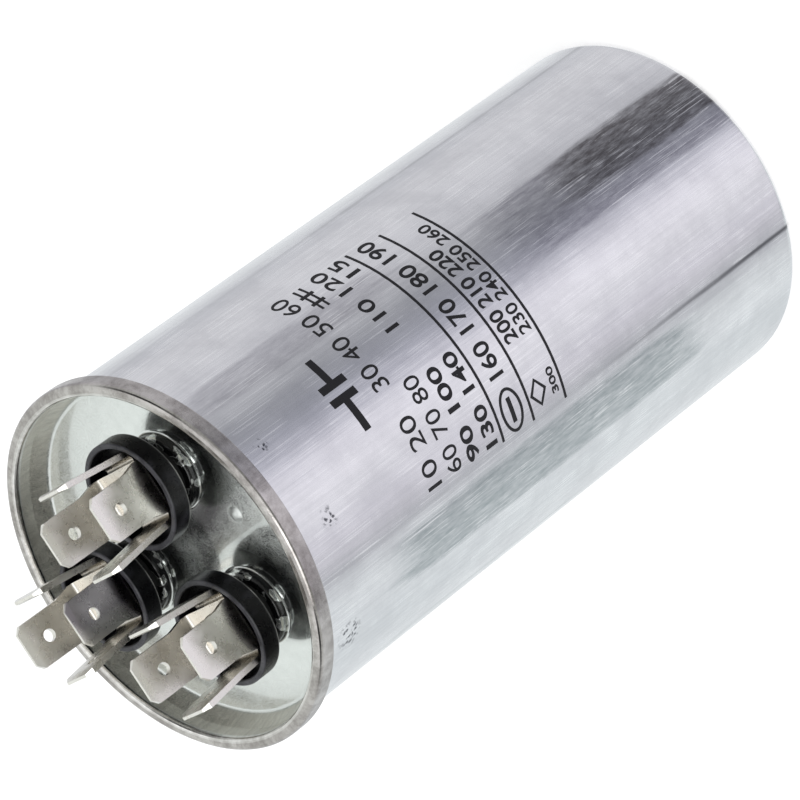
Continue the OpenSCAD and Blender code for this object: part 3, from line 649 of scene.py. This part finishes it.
def wrap_tree():
    """Geometry Nodes that roll a flat print round the can: X becomes the arc, Y the height, Z the lift."""
    tree = bpy.data.node_groups.new("roll_print_on_can", "GeometryNodeTree")
    face = tree.interface
    face.new_socket("Print", in_out="INPUT", socket_type="NodeSocketGeometry")
    sockets = {
        "Can radius": face.new_socket("Can radius", in_out="INPUT", socket_type="NodeSocketFloat"),
        "Ink": face.new_socket("Ink", in_out="INPUT", socket_type="NodeSocketMaterial"),
    }
    face.new_socket("Print", in_out="OUTPUT", socket_type="NodeSocketGeometry")
    entry = add(tree, "NodeGroupInput")
    can_radius = entry.outputs["Can radius"]
    spot = add(tree, "ShaderNodeSeparateXYZ", {"Vector": add(tree, "GeometryNodeInputPosition")})
    turn = add(tree, "ShaderNodeMath", {0: spot.outputs["X"], 1: can_radius}, operation="DIVIDE")
    reach = add(tree, "ShaderNodeMath", {0: spot.outputs["Z"], 1: can_radius}, operation="ADD")
    sine = add(tree, "ShaderNodeMath", {0: turn}, operation="SINE")
    cosine = add(tree, "ShaderNodeMath", {0: turn}, operation="COSINE")
    across = add(tree, "ShaderNodeMath", {0: reach, 1: sine}, operation="MULTIPLY")
    depth = add(tree, "ShaderNodeMath", {0: reach, 1: cosine}, operation="MULTIPLY")
    front = add(tree, "ShaderNodeMath", {0: depth, 1: -1.0}, operation="MULTIPLY")
    rolled = add(tree, "ShaderNodeCombineXYZ", {"X": across, "Y": front, "Z": spot.outputs["Y"]})
    moved = add(tree, "GeometryNodeSetPosition", {"Geometry": entry.outputs["Print"], "Position": rolled})
    real = add(tree, "GeometryNodeRealizeInstances", {0: moved})
    inked = add(tree, "GeometryNodeSetMaterial", {"Geometry": real, "Material": entry.outputs["Ink"]})
    add(tree, "NodeGroupOutput", {0: inked})
    return tree, {name: socket.identifier for name, socket in sockets.items()}


def print_legend():
    """The legend: plain figures and simple signs, printed flat and rolled round the can."""
    shape = bmesh.new()
    for row in FIGURES:
        shape.from_mesh(figures_mesh(*row))
    bmesh.ops.remove_doubles(shape, verts=shape.verts, dist=0.001 * MM)
    signs(shape)
    for vertex in shape.verts:
        vertex.co.y -= ASKEW * (vertex.co.x - LEGEND_MIDDLE)
    bmesh.ops.recalc_face_normals(shape, faces=shape.faces)
    flat = bpy.data.meshes.new("legend_flat")
    shape.to_mesh(flat)
    shape.free()
    carrier = bpy.data.objects.new("legend_flat", flat)
    bpy.context.scene.collection.objects.link(carrier)
    tree, sockets = wrap_tree()
    roll = carrier.modifiers.new("roll", "NODES")
    roll.node_group = tree
    roll[sockets["Can radius"]] = CAN_R + INK_LIFT
    # Screen-printed black ink: matt, a little thin in places
    roll[sockets["Ink"]] = grained("screen_ink", "#07070A", "#16151B", 0.5, (0.5, 0.7), 0.004, IOR=1.45)
    mesh = bpy.data.meshes.new_from_object(carrier.evaluated_get(bpy.context.evaluated_depsgraph_get()))
    bpy.data.objects.remove(carrier)
    make_piece("legend_print", mesh)


# ---------------------------------------------------------------- studio and camera

def studio_floor():
    """Plain white floor that keeps the shadow; the metal mirrors the soft boxes and not the floor."""
    half = 3.0
    corners = [(-half, -half, 0), (half, -half, 0), (half, half, 0), (-half, half, 0)]
    mesh = bpy.data.meshes.new("floor")
    mesh.from_pydata(corners, [], [(0, 1, 2, 3)])
    floor = bpy.data.objects.new("floor", mesh)
    bpy.context.scene.collection.objects.link(floor)
    floor.visible_glossy = False
    # White paper: matt, with a glow of its own that only the camera sees
    paper = bpy.data.materials.new("floor_paper")
    paper.use_nodes = True
    tree = paper.node_tree
    tree.nodes.clear()
    seen = add(tree, "ShaderNodeLightPath").outputs["Is Camera Ray"]
    lift = add(tree, "ShaderNodeMath", {0: seen, 1: 0.5}, operation="MULTIPLY")
    matt = add(tree, "ShaderNodeBsdfDiffuse", {"Color": "#E9E9E9"})
    glow = add(tree, "ShaderNodeEmission", {"Color": "#FFFFFF", "Strength": lift})
    both = add(tree, "ShaderNodeAddShader", {0: matt, 1: glow})
    add(tree, "ShaderNodeOutputMaterial", {"Surface": both})
    mesh.materials.append(paper)


# Soft boxes and dark gaps round the studio as the can's side mirrors them: turn from the front, in degrees
SIDE_BANDS = [
    (-180, "#EBEEEF"), (-164, "#E0E4E5"), (-156, "#D8DCDE"), (-144, "#D4D8DA"), (-128, "#D5DADC"),
    (-112, "#D8DDDF"), (-98, "#DDE1E3"), (-80, "#D7DBDD"), (-70, "#C6C8CC"), (-64, "#A8AAAF"),
    (-58, "#C4C3C9"), (-46, "#D2D0D8"), (-28, "#DDDCE2"), (-14, "#E7E5EC"), (-2, "#E2E0E8"),
    (7, "#C6C5CF"), (14, "#ADADB8"), (22, "#9E9FA9"), (32, "#92939B"), (40, "#96979D"),
    (48, "#A6A7AC"), (58, "#B6B6BB"), (72, "#C6C6CB"), (98, "#CECED2"), (116, "#CBCBCF"),
    (127, "#BFC0C5"), (134, "#BDBEC3"), (143, "#CFD1D4"), (160, "#DDE0E2"), (180, "#EBEEEF"),
]

# The same above the horizon, which the lid and the tabs mirror
UPPER_BANDS = [
    (-180, "#DEE2E0"), (-120, "#D8DBDA"), (-75, "#BFC2C0"), (-40, "#B4B6B4"), (0, "#B0B2B0"),
    (40, "#B4B6B4"), (80, "#BFC2C0"), (125, "#D8DBDA"), (180, "#DEE2E0"),
]

# Strength of what the metal mirrors, and of the even light on everything
MIRRORED_LIGHT = 1.25
EVEN_LIGHT = 0.72


def studio_world():
    """White backdrop for the camera, even light for matt surfaces, and soft boxes for what mirrors them."""
    world = bpy.data.worlds.new("studio")
    bpy.context.scene.world = world
    world.use_nodes = True
    tree = world.node_tree
    tree.nodes.clear()
    ray = add(tree, "ShaderNodeSeparateXYZ", {
        "Vector": add(tree, "ShaderNodeTexCoord").outputs["Generated"]})
    toward = add(tree, "ShaderNodeMath", {0: ray.outputs["Y"], 1: -1.0}, operation="MULTIPLY")
    turn = add(tree, "ShaderNodeMath", {0: ray.outputs["X"], 1: toward}, operation="ARCTAN2")
    share = add(tree, "ShaderNodeMath", {0: turn, 1: 1 / math.tau, 2: 0.5}, operation="MULTIPLY_ADD")
    side, upper = (
        add(tree, "ShaderNodeValToRGB", {0: share}, [
            (angle / 360 + 0.5, colour) for angle, colour in bands])
        for bands in (SIDE_BANDS, UPPER_BANDS))
    rise = add(tree, "ShaderNodeMapRange", {
        VALUE: ray.outputs["Z"], FROM_A: -0.12, FROM_B: 0.08}, interpolation_type="SMOOTHSTEP")
    crown = add(tree, "ShaderNodeMapRange", {
        VALUE: ray.outputs["Z"], FROM_A: 0.66, FROM_B: 0.8}, interpolation_type="SMOOTHSTEP")
    # Dark gap in front, between the low wall and the overhead box
    ahead = between(tree, turn, -1.9, 1.9, 0.4)
    gap = add(tree, "ShaderNodeMath", {
        0: ahead, 1: between(tree, ray.outputs["Z"], 0.34, 0.68, 0.08)}, operation="MULTIPLY")
    boxes = side
    for zone, colour in ((rise, upper), (crown, "#F2F4F4"), (gap, "#232426")):
        boxes = add(tree, "ShaderNodeMix", {SHARE: zone, UNDER: boxes, OVER: colour}, data_type="RGBA")
    path = add(tree, "ShaderNodeLightPath")
    mirrored = add(tree, "ShaderNodeBackground", {"Color": boxes, "Strength": MIRRORED_LIGHT})
    even = add(tree, "ShaderNodeBackground", {"Color": "#FFFFFF", "Strength": EVEN_LIGHT})
    backdrop = add(tree, "ShaderNodeBackground", {"Color": "#FFFFFF", "Strength": 1.0})
    lit = add(tree, "ShaderNodeMixShader", {0: path.outputs["Is Diffuse Ray"], 1: mirrored, 2: even})
    seen = add(tree, "ShaderNodeMixShader", {0: path.outputs["Is Camera Ray"], 1: lit, 2: backdrop})
    add(tree, "ShaderNodeOutputWorld", {"Surface": seen})


def soft_lamp():
    """One large soft lamp over the front left, for gentle modelling of the matt parts."""
    lamp = bpy.data.lights.new("soft_lamp", "AREA")
    lamp.size = 0.7
    lamp.energy = 3.0
    holder = bpy.data.objects.new("soft_lamp", lamp)
    holder.location = (-0.45, -0.45, 0.95)
    holder.rotation_euler = (Vector((0, 0, 0.06)) - holder.location).to_track_quat("-Z", "Y").to_euler()
    bpy.context.scene.collection.objects.link(holder)


def aim_camera():
    """Long lens from the front and above, rolled so that the can lies across the picture."""
    azimuth, elevation, roll = math.radians(0.106), math.radians(37.945), math.radians(-126.742)
    distance, focal_length, sensor_width = 0.599148, 207.236, 36.0
    aim = Vector((-0.87 * MM, 0.0, 0.54 * LID_TOP))
    level = math.cos(elevation)
    back = Vector((math.sin(azimuth) * level, -math.cos(azimuth) * level, math.sin(elevation)))
    lens = bpy.data.cameras.new("camera")
    lens.lens = focal_length
    lens.sensor_width = sensor_width
    camera = bpy.data.objects.new("camera", lens)
    camera.location = aim + distance * back
    turn = (aim - camera.location).to_track_quat("-Z", "Y")
    camera.rotation_euler = (turn.to_matrix() @ Matrix.Rotation(roll, 3, "Z")).to_euler()
    bpy.context.scene.collection.objects.link(camera)
    bpy.context.scene.camera = camera


# ---------------------------------------------------------------- assembly

finish_nodes("can_metal", drawn_aluminium())
finish_nodes("lid_metal", tinplate())
tab_finish = tinned_strip()
finish_nodes("tab_metal", tab_finish)
finish_nodes("bushing_plastic", moulded_phenolic())
for slot, finish in plain_finishes().items():
    finish_nodes(slot, finish)
for terminal in TERMINALS:
    dress_tabs("lower_tabs_" + terminal, tab_finish)
    dress_tabs("upper_tabs_" + terminal, tab_finish)
print_legend()
studio_floor()
studio_world()
soft_lamp()
aim_camera()
bpy.context.scene.view_settings.view_transform = "Standard"
